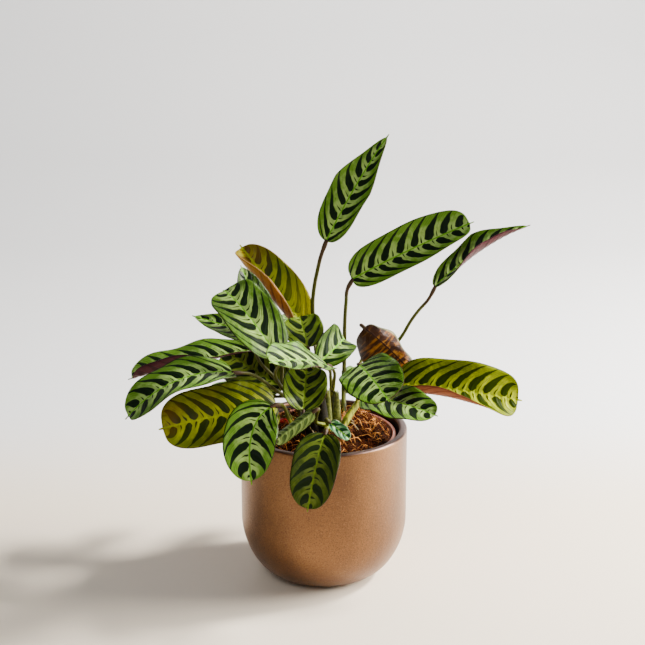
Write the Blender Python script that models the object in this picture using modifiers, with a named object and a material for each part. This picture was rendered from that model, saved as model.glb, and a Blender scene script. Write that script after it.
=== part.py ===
"""A potted ctenanthe: a copper-coloured pot, a nursery pot, coir soil, shoots and leaves.

The scene is in metres with +Z up, and the sizes below are in millimetres.
The origin is the centre of the pot's flat underside. The photo's camera looks along +Y
and down by about 17 degrees, so +X is the picture's right and -Y is its front.
"""

import math

import bmesh
import bpy
import numpy as np
from mathutils import Vector

MM = 0.001
WELD = 0.01 * MM
GAP = 0.4
BLADE_GAP = 0.7

# Copper-coloured pot
POT_RADIUS = 75.0
POT_HEIGHT = 139.0
POT_WALL = 7.0
POT_FOOT_RADIUS = 38.5
POT_FLOOR_RADIUS = 36.5
POT_BEND_HEIGHT = 54.0
POT_LIP_ROUND = 2.4
BEND_POWER = 1.1
BEND_POINTS = 9
ROUND_STEPS = 40

# Nursery pot that stands inside it
NURSERY_RIM_RADIUS = 65.0
NURSERY_TOP = 133.5
NURSERY_RIM_BAND = 12.0
NURSERY_RIM_STEP = 1.6
NURSERY_WALL = 1.4
NURSERY_FOOT_RADIUS = 38.0
DRAIN_HOLES = 6
DRAIN_RADIUS = 4.5
DRAIN_CIRCLE = 25.0

# Soil
SOIL_TOP = 130.5
SOIL_MOUND = 13.0
SOIL_ROUGHNESS = 1.1
SOIL_RINGS = 7
STEM_DEPTH = 30.0
HOLE_DEPTH = 31.0
HOLE_SIDES = 12

# Stems, petioles and blades
STEM_RINGS = 6
STEM_UPRIGHT = 2.0
STEM_LEAN = 0.3
PETIOLE_FOOT_RADIUS = 1.7
PULVINUS_SWELL = 0.35
PULVINUS_LENGTH = 11.0
PETIOLE_RINGS = 10
BLADE_THICKNESS = 0.8
BLADE_ROWS = 11
BLADE_COLUMNS = 6
MUCRO_SHARE = 0.035
END_SHARES = ([0, 0.1, 0.9, 1.0], [0.05, 0.0, 0.06, 0.02])
DRAWN_FROM = 0.5
WAVES = 2.2

# Colours, roughness and metallic value of each kind of piece
COPPER = ((0.56, 0.27, 0.13), 0.42, 0.85)
PLASTIC = ((0.50, 0.20, 0.15), 0.55, 0.0)
COIR = ((0.23, 0.085, 0.03), 0.95, 0.0)
GREEN_STEM = ((0.17, 0.19, 0.03), 0.50, 0.0)
DARK_STEM = ((0.06, 0.06, 0.02), 0.50, 0.0)
LEAF_GREEN = ((0.16, 0.30, 0.08), 0.40, 0.0)
LEAF_YELLOW = ((0.27, 0.33, 0.02), 0.40, 0.0)
LEAF_SHADED = ((0.08, 0.14, 0.03), 0.45, 0.0)

# Each shoot: where its stem stands in the soil, where the stem ends, its radius below
# and above, and its colour.
SHOOTS = {
    "shoot_middle": ((8, 8), (7, 7, 172), 3.3, 2.4, GREEN_STEM),
    "shoot_right": ((17, -19), (35, -1, 167), 3.7, 2.9, GREEN_STEM),
    "shoot_dark": ((18, 22), (18, 30, 168), 2.9, 2.1, DARK_STEM),
    "shoot_back": ((0, 19), (-5, 17, 172), 3.0, 2.2, DARK_STEM),
    "shoot_left": ((-19, 1), (-33, 0, 168), 3.1, 2.2, DARK_STEM),
    "shoot_front_left": ((-13, -18), (-23, -24, 148), 3.0, 2.2, GREEN_STEM),
    "shoot_front": ((4, -24), (4, -33, 152), 3.0, 2.3, GREEN_STEM),
    "shoot_back_left": ((-14, 29), (-20, 36, 150), 2.9, 2.1, DARK_STEM),
}

LEAVES = []


def leaf(name, shoot, base, tip, face, width, **form):
    """Lists one leaf: its blade's two ends, the way its upper side faces and its width.

    form may set: arch and sweep (bow of the midrib towards the upper side and to the
    right), peak (where along the midrib the bow is), vee (degrees each half rises at the
    midrib), curl (degrees the left and right halves bend, near the base), curl_tip (the
    same near the tip), twist (degrees the blade turns about its midrib on the way), halves
    (how wide the left and right halves are, as shares of their even width), blunt and
    widest (the outline's squareness and widest place), drawn (how far the tip is drawn out
    to a point, from 0 to 1), wave (the margin's waves), via (points its petiole passes),
    arrival (how far the petiole runs in line with the midrib), stalk (the petiole's
    radius) and colour.
    """
    given = {
        "arch": 0.0, "sweep": 0.0, "peak": 0.5, "vee": 8.0, "curl": (12.0, 12.0),
        "twist": 0.0, "halves": (1.0, 1.0), "blunt": 2.4, "widest": 0.5, "drawn": 0.0,
        "wave": 1.2, "via": (), "arrival": 5.0, "stalk": 1.1, "colour": LEAF_GREEN,
    }
    given.update(form)
    given.setdefault("curl_tip", given["curl"])
    given.update(name=name, shoot=shoot, base=base, tip=tip, face=face, width=width)
    LEAVES.append(given)


leaf("leaf_top", "shoot_back", (2, 12, 307), (57, 34, 398), (-0.35, -1, 0.45), 43,
     sweep=-3, arch=4, widest=0.47, drawn=0.68, blunt=2.1, vee=12, twist=-15, curl=(10, 25),
     curl_tip=(75, 20), wave=1.9, halves=(0.94, 0.92), stalk=1.5,
     via=((-7, 36, 205), (-10, 33, 240), (-3, 17, 290)))
leaf("leaf_high_middle", "shoot_dark", (25, 24, 269), (131, 6, 326), (-0.25, -1, 0.45), 43,
     sweep=-2, arch=6, vee=6, curl=(10, 15), curl_tip=(15, 60), blunt=3.0, halves=(1.06, 0.78),
     twist=-12, wave=1.7, stalk=1.4, via=((19, 37, 205), (19, 32, 226), (21, 25, 258)))
leaf("leaf_high_right", "shoot_dark", (99, 24, 262), (186, 52, 312), (-0.45, -0.35, 1), 34,
     arch=8, sweep=-9, peak=0.55, curl=(10, 40), curl_tip=(230, 260), drawn=0.75, blunt=2.2,
     wave=1.6, stalk=1.25, via=((45, 62, 178), (65, 58, 196), (83, 42, 231), (95, 27, 252)))
leaf("leaf_high_left", "shoot_back", (-16, 41, 220), (-77, 74, 288), (0.1, -1, 0.4), 47,
     arch=14, sweep=-2, vee=6, curl=(165, 15), curl_tip=(165, 20), widest=0.5,
     halves=(1.3, 1.0), drawn=0.2, wave=1.6, colour=LEAF_YELLOW)
leaf("leaf_left_face", "shoot_left", (-41, -34, 217), (-89, 6, 264), (0.3, -1, 0.8), 58,
     arch=16, peak=0.75, vee=5, curl=(10, 10), blunt=2.8, widest=0.48, halves=(0.8, 0.87),
     wave=1.6, via=((-43, -20, 195),))
leaf("leaf_left_behind_low", "shoot_left", (-46, 12, 216), (-121, 58, 225), (0, -0.5, 1),
     34, blunt=1.7, drawn=0.5)
leaf("leaf_left_behind_high", "shoot_left", (-50, 2, 230), (-74, 24, 282), (0.4, -0.8, 0.7),
     36, blunt=1.8, drawn=0.35, halves=(1.0, 0.8), via=((-25, 12, 182), (-36, 8, 214)))
leaf("leaf_left_upper", "shoot_left", (-66, 5, 209), (-172, -24, 191), (-0.1, -0.3, 1), 40,
     arch=3, vee=22, curl=(20, 5), curl_tip=(165, 5), blunt=2.8, halves=(1.1, 1.0), wave=1.8,
     via=((-36, 1, 174), (-45, 2, 185), (-58, 3, 200)))
leaf("leaf_left_lower", "shoot_left", (-79, -34, 201), (-170, -68, 170), (0, -0.35, 1), 42,
     arch=34, blunt=3.2, wave=1.6, via=((-42, -16, 178), (-66, -25, 197)))
leaf("leaf_left_yellow", "shoot_front_left", (-41, -36, 170), (-142, -66, 160),
     (0.05, -0.9, 0.8), 56, arch=10, vee=5, blunt=3.2, colour=LEAF_YELLOW)
leaf("leaf_front_left", "shoot_front_left", (-45, -58, 178), (-61, -98, 122), (-0.1, -1, 0.7),
     48, arch=9, peak=0.3, sweep=20, widest=0.56, blunt=2.2)
leaf("leaf_front", "shoot_front", (1, -66, 156), (-14, -100, 98), (-0.2, -1, 0.6), 42,
     arch=14, peak=0.4, colour=LEAF_SHADED, via=((1, -46, 151),))
leaf("leaf_right_yellow", "shoot_right", (66, 4, 178), (177, -6, 165), (0, -1, 0.75), 54,
     arch=10, vee=5, curl=(10, 150), curl_tip=(10, 10), blunt=3.2, wave=1.7,
     colour=LEAF_YELLOW)
leaf("leaf_right_low", "shoot_right", (36, -20, 174), (97, -76, 176), (0, -0.7, 1), 46,
     arch=8, wave=2.0, halves=(0.76, 1.0))
leaf("leaf_front_right", "shoot_right", (31, -20, 203), (55, -96, 196), (-0.35, -0.35, 1), 52,
     arch=9, vee=4, blunt=2.6, wave=1.6, via=((36, -4, 186), (35, -12, 199)))
leaf("leaf_middle_right", "shoot_middle", (-4, -16, 204), (18, 24, 214), (0.5, -0.6, 0.6), 36,
     arch=12, peak=0.7, vee=14, blunt=2.8, halves=(1.0, 0.84),
     via=((6, -1, 184), (4, -12, 197)), arrival=3.0)
leaf("leaf_middle_flat", "shoot_middle", (3, -32, 207), (-46, -87, 227), (0.1, -0.35, 1), 46,
     arch=8, wave=1.8, via=((9, -10, 184), (9, -22, 198)))
leaf("leaf_middle_low", "shoot_front_left", (-18, -36, 166), (-15, 4, 194), (0, -1, 0.6), 41,
     arch=4, vee=10, colour=LEAF_SHADED)
leaf("leaf_middle_back", "shoot_back", (-14, -1, 213), (-22, 26, 234), (0, -0.7, 0.8), 36,
     arch=8, colour=LEAF_SHADED, via=((-9, 14, 188), (-11, 8, 202)))
leaf("leaf_right_drooping", "shoot_dark", (37, 34, 221), (86, 26, 174), (0.0, 0.95, 0.3), 58,
     vee=16, arch=2, sweep=3, widest=0.42, curl=(20, 60), curl_tip=(15, 80), blunt=1.9,
     halves=(1.3, 0.46), drawn=0.5, wave=4.2, via=((37, 58, 188), (40, 52, 208)), arrival=3.6)
leaf("leaf_left_shaded", "shoot_left", (-36, 6, 172), (-92, 50, 194), (0.1, -0.8, 0.6), 54,
     colour=LEAF_SHADED)
leaf("leaf_new_front", "shoot_front", (5, -40, 157), (23, -42, 142), (0.3, -1, 0.6), 13,
     vee=20)
leaf("leaf_new_rolled", "shoot_front", (-9, -49, 170), (-44, -63, 147), (-0.2, 1, -0.8), 26,
     vee=30, curl=(70, 70), via=((-6, -34, 154),))
leaf("leaf_back_right", "shoot_dark", (82, 62, 156), (172, 108, 142), (0, -0.2, 1), 44,
     arch=14, via=((48, 50, 157),))
leaf("leaf_back_left", "shoot_back_left", (-52, 50, 150), (-128, 95, 125), (0, -0.2, 1), 44,
     arch=14)
leaf("leaf_back_high", "shoot_back", (-25, 40, 208), (-45, 120, 205), (0, -0.2, 1), 44,
     arch=18)
leaf("leaf_back_low", "shoot_back_left", (-22, 45, 165), (-38, 125, 138), (0, -0.2, 1), 46,
     arch=18)
leaf("leaf_back_middle", "shoot_dark", (28, 50, 160), (56, 126, 136), (0, -0.2, 1), 46,
     arch=14)


def clear_scene():
    for obj in list(bpy.data.objects):
        bpy.data.objects.remove(obj, do_unlink=True)


def new_collection(name):
    made = bpy.data.collections.new(name)
    bpy.context.scene.collection.children.link(made)
    return made


def set_material(obj, look):
    colour, roughness, metallic = look
    material = bpy.data.materials.new(obj.name)
    material.use_nodes = True
    shader = material.node_tree.nodes["Principled BSDF"]
    shader.inputs["Base Color"].default_value = (*colour, 1.0)
    shader.inputs["Roughness"].default_value = roughness
    shader.inputs["Metallic"].default_value = metallic
    obj.data.materials.clear()
    obj.data.materials.append(material)


def new_object(name, data, collection):
    obj = bpy.data.objects.new(name, data)
    collection.objects.link(obj)
    return obj


def smooth(obj):
    for polygon in obj.data.polygons:
        polygon.use_smooth = True


def baked(obj, collection):
    """Replaces the object by a mesh of what it evaluates to, with loose caps welded."""
    bpy.context.view_layer.update()
    graph = bpy.context.evaluated_depsgraph_get()
    mesh = bpy.data.meshes.new_from_object(obj.evaluated_get(graph))
    form = bmesh.new()
    form.from_mesh(mesh)
    bmesh.ops.remove_doubles(form, verts=form.verts, dist=WELD)
    bmesh.ops.recalc_face_normals(form, faces=form.faces)
    form.to_mesh(mesh)
    form.free()
    name = obj.name
    matrix = obj.matrix_world.copy()
    bpy.data.objects.remove(obj, do_unlink=True)
    made = new_object(name, mesh, collection)
    made.matrix_world = matrix
    return made


def turned(name, profile, collection):
    """A solid turned round the Z axis. The profile is (radius, height) in millimetres."""
    mesh = bpy.data.meshes.new(name)
    points = [(radius * MM, 0.0, height * MM) for radius, height in profile]
    mesh.from_pydata(points, [(i, i + 1) for i in range(len(points) - 1)], [])
    obj = new_object(name, mesh, collection)
    screw = obj.modifiers.new("Screw", "SCREW")
    screw.steps = ROUND_STEPS
    screw.render_steps = ROUND_STEPS
    screw.use_merge_vertices = True
    screw.merge_threshold = WELD
    return baked(obj, collection)


def boolean(obj, operation, collection, others):
    """Joins or cuts the object with a collection of others, which are then removed."""
    modifier = obj.modifiers.new("Boolean", "BOOLEAN")
    modifier.operation = operation
    modifier.solver = "EXACT"
    modifier.operand_type = "COLLECTION"
    modifier.collection = others
    made = baked(obj, collection)
    for other in list(others.objects):
        bpy.data.objects.remove(other, do_unlink=True)
    return made


def bend(foot_radius, radius, floor, height):
    """The pot's rounded foot, from its flat underside up to its upright wall."""
    points = []
    for step in range(BEND_POINTS + 1):
        angle = 0.5 * math.pi * step / BEND_POINTS
        points.append((
            foot_radius + (radius - foot_radius) * math.sin(angle) ** BEND_POWER,
            floor + (height - floor) * (1 - math.cos(angle) ** BEND_POWER),
        ))
    return points


def make_pot(collection):
    inner = POT_RADIUS - POT_WALL
    lip = [(inner, POT_HEIGHT - POT_LIP_ROUND), (inner + POT_LIP_ROUND, POT_HEIGHT),
           (POT_RADIUS - 0.5 * POT_LIP_ROUND, POT_HEIGHT),
           (POT_RADIUS, POT_HEIGHT - 0.5 * POT_LIP_ROUND)]
    inside = bend(POT_FLOOR_RADIUS, inner, POT_WALL, POT_BEND_HEIGHT)
    outside = bend(POT_FOOT_RADIUS, POT_RADIUS, 0.0, POT_BEND_HEIGHT)
    profile = [(0, POT_WALL), *inside, *lip, *reversed(outside), (0, 0)]
    pot = turned("pot", profile, collection)
    smooth(pot)
    set_material(pot, COPPER)


def nursery_radius(height):
    """The nursery pot's outer radius below its rim band."""
    floor = POT_WALL + GAP
    share = (height - floor) / (NURSERY_TOP - floor)
    top = NURSERY_RIM_RADIUS - NURSERY_RIM_STEP
    return NURSERY_FOOT_RADIUS + (top - NURSERY_FOOT_RADIUS) * share


def make_nursery_pot(collection, cutters):
    floor = POT_WALL + GAP
    band = NURSERY_TOP - NURSERY_RIM_BAND
    inner_floor = floor + NURSERY_WALL
    profile = [
        (0, inner_floor),
        (nursery_radius(inner_floor) - NURSERY_WALL, inner_floor),
        (nursery_radius(NURSERY_TOP) - NURSERY_WALL, NURSERY_TOP),
        (NURSERY_RIM_RADIUS, NURSERY_TOP),
        (NURSERY_RIM_RADIUS, band),
        (nursery_radius(band), band),
        (NURSERY_FOOT_RADIUS, floor),
        (0, floor),
    ]
    pot = turned("nursery_pot", profile, collection)
    for index in range(DRAIN_HOLES):
        angle = math.tau * index / DRAIN_HOLES
        centre = (DRAIN_CIRCLE * math.cos(angle), DRAIN_CIRCLE * math.sin(angle), floor)
        add_cylinder("drain", centre, DRAIN_RADIUS, 4 * NURSERY_WALL, cutters)
    pot = boolean(pot, "DIFFERENCE", collection, cutters)
    set_material(pot, PLASTIC)


def add_cylinder(name, centre, radius, length, collection):
    mesh = bpy.data.meshes.new(name)
    form = bmesh.new()
    bmesh.ops.create_cone(form, cap_ends=True, segments=HOLE_SIDES, radius1=radius * MM,
                          radius2=radius * MM, depth=length * MM)
    form.to_mesh(mesh)
    form.free()
    obj = new_object(name, mesh, collection)
    obj.location = [value * MM for value in centre]
    obj.hide_render = True
    obj.display_type = "WIRE"
    return obj


def soil_height(x, y):
    """The soil's surface: a low mound with lumps, flat against the nursery pot's wall."""
    distance = math.hypot(x, y) / NURSERY_RIM_RADIUS
    mound = SOIL_MOUND * max(0.0, 1 - distance ** 2)
    lumps = math.sin(0.31 * x + 1.3) * math.cos(0.27 * y) + 0.6 * math.sin(0.5 * (x + y))
    return SOIL_TOP + mound + SOIL_ROUGHNESS * lumps * (1 - distance ** 4)


def make_soil(collection, cutters):
    floor = POT_WALL + NURSERY_WALL + 2 * GAP
    inset = NURSERY_WALL + GAP
    rim = nursery_radius(SOIL_TOP) - inset
    rings = [(rim * ring / SOIL_RINGS, SOIL_TOP) for ring in range(SOIL_RINGS + 1)]
    profile = [*rings, (nursery_radius(floor) - inset, floor), (0, floor)]
    soil = turned("soil", profile, collection)
    for vertex in soil.data.vertices:
        if vertex.co.z > 0.9 * SOIL_TOP * MM:
            vertex.co.z = soil_height(vertex.co.x / MM, vertex.co.y / MM) * MM
    for (x, y), _, radius, _, _ in SHOOTS.values():
        top = soil_height(x, y) + HOLE_DEPTH
        centre = (x, y, top - HOLE_DEPTH)
        add_cylinder("hole", centre, radius + 2 * GAP, 2 * HOLE_DEPTH, cutters)
    soil = boolean(soil, "DIFFERENCE", collection, cutters)
    set_material(soil, COIR)


def unit(vector):
    return vector / np.linalg.norm(vector, axis=-1, keepdims=True)


def midrib(form, along):
    """Points of the midrib, with its direction and the blade's upper side at each."""
    base = np.array(form["base"], float)
    tip = np.array(form["tip"], float)
    chord = tip - base
    face = np.array(form["face"], float)
    upper = unit(face - unit(chord) * np.dot(face, unit(chord)))
    right = np.cross(unit(chord), upper)
    bow = base + form["peak"] * chord + form["arch"] * upper + form["sweep"] * right
    share = along[:, None]
    points = (1 - share) ** 2 * base + 2 * share * (1 - share) * bow + share ** 2 * tip
    ahead = unit(2 * (1 - share) * (bow - base) + 2 * share * (tip - bow))
    level = unit(upper - ahead * (ahead @ upper)[:, None])
    turn = np.radians(form["twist"]) * (share - 0.5)
    normal = np.cos(turn) * level + np.sin(turn) * np.cross(ahead, level)
    return points, ahead, normal


def outline(form, along):
    """The blade's half width along the midrib, as a share of its greatest half width."""
    body = np.clip(along / (1 - MUCRO_SHARE), 0, 1)
    warped = body ** (math.log(0.5) / math.log(form["widest"]))
    rounded = (1 - np.abs(2 * warped - 1) ** form["blunt"]) ** (1 / form["blunt"])
    rounded *= 1 - form["drawn"] * np.clip((along - DRAWN_FROM) / (1 - DRAWN_FROM), 0, 1)
    ends = np.interp(along, *END_SHARES)
    return np.maximum(rounded, ends)


def blade_points(form, rows, columns):
    """A grid of points on the blade, in millimetres: rows along it, columns across it."""
    along = 0.5 - 0.5 * np.cos(np.pi * np.arange(rows + 1) / rows)
    points, ahead, normal = midrib(form, along)
    right = np.cross(ahead, normal)
    reach = outline(form, along)
    vee = math.radians(form["vee"])
    grid = np.zeros((rows + 1, columns + 1, 3))
    for column, across in enumerate(np.linspace(-1, 1, columns + 1)):
        side = 0 if across < 0 else 1
        half = 0.5 * form["width"] * form["halves"][side]
        near = math.radians(form["curl"][side])
        far = math.radians(form["curl_tip"][side])
        curl = near + (far - near) * along ** 2
        turn = vee + curl * abs(across) * reach
        out = (np.sin(turn) - math.sin(vee)) * half / curl
        rise = (math.cos(vee) - np.cos(turn)) * half / curl
        ripple = np.sin(2 * math.pi * (WAVES * along + 0.5 * side))
        rise += form["wave"] * across ** 2 * reach * ripple
        grid[:, column] = (points + right * (math.copysign(1, across) * out)[:, None]
                           + normal * rise[:, None])
    return grid


def make_blade(form, collection):
    points = blade_points(form, BLADE_ROWS, BLADE_COLUMNS).reshape(-1, 3)
    mesh = bpy.data.meshes.new(form["name"])
    sheet = bmesh.new()
    bmesh.ops.create_grid(sheet, x_segments=BLADE_COLUMNS, y_segments=BLADE_ROWS, size=1.0)
    sheet.verts.ensure_lookup_table()
    for vertex, point in zip(sheet.verts, points):
        vertex.co = Vector(point) * MM
    bmesh.ops.triangulate(sheet, faces=sheet.faces)
    sheet.to_mesh(mesh)
    sheet.free()
    obj = new_object(form["name"], mesh, collection)
    solidify = obj.modifiers.new("Solidify", "SOLIDIFY")
    solidify.thickness = BLADE_THICKNESS * MM
    solidify.offset = 0.0
    obj = baked(obj, collection)
    smooth(obj)
    set_material(obj, form["colour"])


def through(points, count):
    """Evenly spaced points on a smooth curve through the given ones."""
    points = np.array(points)
    spans = np.linalg.norm(np.diff(points, axis=0), axis=1)
    stops = np.append(0, np.cumsum(spans))
    slopes = np.gradient(points, stops, axis=0)
    curve = []
    for place in np.linspace(0, stops[-1], count):
        index = min(np.searchsorted(stops, place, side="right") - 1, len(spans) - 1)
        span = spans[index]
        t = (place - stops[index]) / span
        curve.append((2 * t ** 3 - 3 * t ** 2 + 1) * points[index]
                     + (t ** 3 - 2 * t ** 2 + t) * span * slopes[index]
                     + (3 * t ** 2 - 2 * t ** 3) * points[index + 1]
                     + (t ** 3 - t ** 2) * span * slopes[index + 1])
    return np.array(curve)


def add_tube(name, points, radii, collection):
    """A curve object with a bevel and filled caps, made a mesh."""
    curve = bpy.data.curves.new(name, "CURVE")
    curve.dimensions = "3D"
    curve.bevel_depth = MM
    curve.bevel_resolution = 1
    curve.use_fill_caps = True
    spline = curve.splines.new("POLY")
    spline.points.add(len(points) - 1)
    for target, point, radius in zip(spline.points, points, radii):
        target.co = (*[value * MM for value in point], 1.0)
        target.radius = radius
    return baked(new_object(name, curve, collection), collection)


def stem_points(shoot):
    """Upright in its hole in the soil, then bowed over towards its top."""
    (x, y), top, _, _, _ = SHOOTS[shoot]
    ground = soil_height(x, y)
    start = np.array([x, y, ground + STEM_UPRIGHT])
    top = np.array(top, float)
    above = start + np.array([0, 0, STEM_LEAN * (top[2] - start[2])])
    share = np.linspace(0, 1, STEM_RINGS)[:, None]
    bowed = (1 - share) ** 2 * start + 2 * share * (1 - share) * above + share ** 2 * top
    return np.vstack([[x, y, ground - STEM_DEPTH], bowed])


def petiole_points(form):
    """From inside the stem's top to just short of the blade's base, along its midrib."""
    stem = stem_points(form["shoot"])
    foot = stem[-2]
    points, ahead, _ = midrib(form, np.array([0.0]))
    end = points[0] - BLADE_GAP * ahead[0]
    middle = form["via"] or [stem[-1] + 0.15 * (stem[-1] - foot)]
    before = end - form["arrival"] * ahead[0]
    return through([foot, *middle, before, end], PETIOLE_RINGS)


def petiole_radii(points, stalk):
    steps = np.linalg.norm(np.diff(points, axis=0), axis=1)
    to_end = np.append(np.cumsum(steps[::-1])[::-1], 0)
    share = to_end / to_end[0]
    radii = stalk + (PETIOLE_FOOT_RADIUS - stalk) * share ** 2
    swell = np.clip(1 - to_end / PULVINUS_LENGTH, 0, 1)
    return radii + PULVINUS_SWELL * np.sin(math.pi * swell)


def make_shoot(name, collection, joined):
    _, _, foot_radius, top_radius, look = SHOOTS[name]
    points = stem_points(name)
    shoot = add_tube(name, points, np.linspace(foot_radius, top_radius, len(points)), collection)
    for form in LEAVES:
        if form["shoot"] == name:
            points = petiole_points(form)
            add_tube(form["name"] + "_petiole", points, petiole_radii(points, form["stalk"]), joined)
    shoot = boolean(shoot, "UNION", collection, joined)
    smooth(shoot)
    set_material(shoot, look)


def main():
    clear_scene()
    plant = new_collection("potted_ctenanthe")
    cutters = new_collection("cutters")
    joined = new_collection("joined")
    make_pot(plant)
    make_nursery_pot(plant, cutters)
    make_soil(plant, cutters)
    for name in SHOOTS:
        make_shoot(name, plant, joined)
    for form in LEAVES:
        make_blade(form, plant)
    for helper in (cutters, joined):
        bpy.data.collections.remove(helper)


main()
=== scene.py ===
import math
import random

import bpy
import numpy as np
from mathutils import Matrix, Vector, noise


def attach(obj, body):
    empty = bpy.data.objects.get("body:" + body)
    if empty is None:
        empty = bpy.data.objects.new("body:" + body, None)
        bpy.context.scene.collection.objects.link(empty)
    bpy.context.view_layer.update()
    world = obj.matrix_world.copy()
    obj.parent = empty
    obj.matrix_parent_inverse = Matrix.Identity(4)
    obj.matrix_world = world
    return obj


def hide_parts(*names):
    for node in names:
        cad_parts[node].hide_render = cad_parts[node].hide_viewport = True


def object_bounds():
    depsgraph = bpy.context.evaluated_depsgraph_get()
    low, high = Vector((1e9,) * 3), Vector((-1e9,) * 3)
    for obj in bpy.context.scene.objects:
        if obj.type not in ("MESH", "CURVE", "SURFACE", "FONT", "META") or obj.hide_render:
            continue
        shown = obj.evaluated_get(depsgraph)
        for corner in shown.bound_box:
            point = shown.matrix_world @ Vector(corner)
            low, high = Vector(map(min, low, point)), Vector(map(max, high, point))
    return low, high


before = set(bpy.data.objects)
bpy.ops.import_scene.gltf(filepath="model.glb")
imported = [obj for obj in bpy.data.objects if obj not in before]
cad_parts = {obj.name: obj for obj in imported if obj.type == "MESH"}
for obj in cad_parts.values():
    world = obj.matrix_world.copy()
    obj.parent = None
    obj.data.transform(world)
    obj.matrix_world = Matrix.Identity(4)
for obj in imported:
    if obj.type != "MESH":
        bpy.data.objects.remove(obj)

CAD_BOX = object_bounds()
MM = 0.001

# Sizes in millimetres and shape values, as in the solids
GAP = 0.4
POT_RADIUS = 75.0
POT_HEIGHT = 139.0
POT_WALL = 7.0
POT_FOOT_RADIUS = 38.5
POT_FLOOR_RADIUS = 36.5
POT_BEND_HEIGHT = 54.0
BEND_POWER = 1.1
NURSERY_RIM_RADIUS = 65.0
NURSERY_TOP = 133.5
NURSERY_RIM_BAND = 12.0
NURSERY_RIM_STEP = 1.6
NURSERY_WALL = 1.4
NURSERY_FOOT_RADIUS = 38.0
SOIL_TOP = 130.5
SOIL_MOUND = 13.0
SOIL_ROUGHNESS = 1.1
STEM_DEPTH = 30.0
STEM_RINGS = 6
STEM_UPRIGHT = 2.0
STEM_LEAN = 0.3
PETIOLE_FOOT_RADIUS = 1.7
PULVINUS_SWELL = 0.35
PULVINUS_LENGTH = 11.0
PETIOLE_RINGS = 10
MUCRO_SHARE = 0.035
END_SHARES = ([0, 0.1, 0.9, 1.0], [0.05, 0.0, 0.06, 0.02])
DRAWN_FROM = 0.5
WAVES = 2.2
PETIOLE_OVERLAP = 1.5
PETIOLE_FOLLOW = 0.15
BEND_POINTS = 32

# The look of each kind of stem and leaf, by the name of its slot
GREEN_STEM = "green_stem"
DARK_STEM = "dark_stem"
LEAF_GREEN = "leaf_green"
LEAF_YELLOW_BACKLIT = "leaf_yellow"
LEAF_SHADED = "leaf_shaded"

# Each shoot: its stem's foot and top, its radius below and above, and its look
SHOOTS = {
    "shoot_middle": ((8, 8), (7, 7, 172), 3.3, 2.4, GREEN_STEM),
    "shoot_right": ((17, -19), (35, -1, 167), 3.7, 2.9, GREEN_STEM),
    "shoot_dark": ((18, 22), (18, 30, 168), 2.9, 2.1, DARK_STEM),
    "shoot_back": ((0, 19), (-5, 17, 172), 3.0, 2.2, DARK_STEM),
    "shoot_left": ((-19, 1), (-33, 0, 168), 3.1, 2.2, DARK_STEM),
    "shoot_front_left": ((-13, -18), (-23, -24, 148), 3.0, 2.2, GREEN_STEM),
    "shoot_front": ((4, -24), (4, -33, 152), 3.0, 2.3, GREEN_STEM),
    "shoot_back_left": ((-14, 29), (-20, 36, 150), 2.9, 2.1, DARK_STEM),
}

LEAVES = []


def leaf(name, shoot, base, tip, face, width, **form):
    """Lists one leaf: its blade's two ends, the way its upper side faces and its width.

    Its form: arch and sweep (bow of the midrib up and to the right), peak (where the bow
    is), vee (degrees each half rises at the midrib), curl (degrees the left and right
    halves bend, near the base), curl_tip (near the tip), twist (degrees about the midrib),
    halves (widths of the left and right halves, as shares of an even one), blunt and
    widest (the outline's squareness and widest place), drawn (how far the tip is drawn
    out, from 0 to 1), wave (the margin's waves), via (points its petiole passes), arrival
    (how far the petiole runs in line with the midrib) and stalk (the petiole's radius).
    Its looks: colour (a slot), light (a factor on its ground for its kind, set per leaf as
    painted light and shade for how brightly it is lit), edge (the edge's colour) and traits:
    young, streaked (below, in place of bands), rust_under, pale_under, sunlit (through the
    blade), tanned (brown towards the tip) and matt (it faces the light, and shows no gleam in
    the photo).
    """
    given = {
        "arch": 0.0, "sweep": 0.0, "peak": 0.5, "vee": 8.0, "curl": (12.0, 12.0),
        "twist": 0.0, "halves": (1.0, 1.0), "blunt": 2.4, "widest": 0.5, "drawn": 0.0,
        "wave": 1.2, "via": (), "arrival": 5.0, "stalk": 1.1, "colour": LEAF_GREEN,
        "light": 1.0, "edge": None, "traits": (),
    }
    given.update(form)
    given.setdefault("curl_tip", given["curl"])
    given.update(name=name, shoot=shoot, base=base, tip=tip, face=face, width=width)
    LEAVES.append(given)


leaf("leaf_top", "shoot_back", (2, 12, 307), (57, 34, 398), (-0.35, -1, 0.45), 43,
     sweep=-3, arch=4, widest=0.47, drawn=0.68, blunt=2.1, vee=12, twist=-15, curl=(10, 25),
     curl_tip=(75, 20), wave=1.9, halves=(0.94, 0.92), stalk=1.5,
     via=((-7, 36, 205), (-10, 33, 240), (-3, 17, 290)))
leaf("leaf_high_middle", "shoot_dark", (25, 24, 269), (131, 6, 326), (-0.25, -1, 0.45), 43,
     sweep=-2, arch=6, vee=6, curl=(10, 15), curl_tip=(15, 60), blunt=3.0, halves=(1.06, 0.78),
     twist=-12, wave=1.7, stalk=1.4, via=((19, 37, 205), (19, 32, 226), (21, 25, 258)), light=1.1)
leaf("leaf_high_right", "shoot_dark", (99, 24, 262), (186, 52, 312), (-0.45, -0.35, 1), 34,
     arch=8, sweep=-9, peak=0.55, curl=(10, 40), curl_tip=(230, 260), drawn=0.75, blunt=2.2,
     wave=1.6, stalk=1.25, via=((45, 62, 178), (65, 58, 196), (83, 42, 231), (95, 27, 252)))
leaf("leaf_high_left", "shoot_back", (-16, 41, 220), (-77, 74, 288), (0.1, -1, 0.4), 47,
     arch=14, sweep=-2, vee=6, curl=(165, 15), curl_tip=(165, 20),
     halves=(1.3, 1.0), drawn=0.2, wave=1.6, colour=LEAF_YELLOW_BACKLIT,
     edge=(0.34, 0.19, 0.07), traits=("rust_under", "sunlit", "tanned"))
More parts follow.
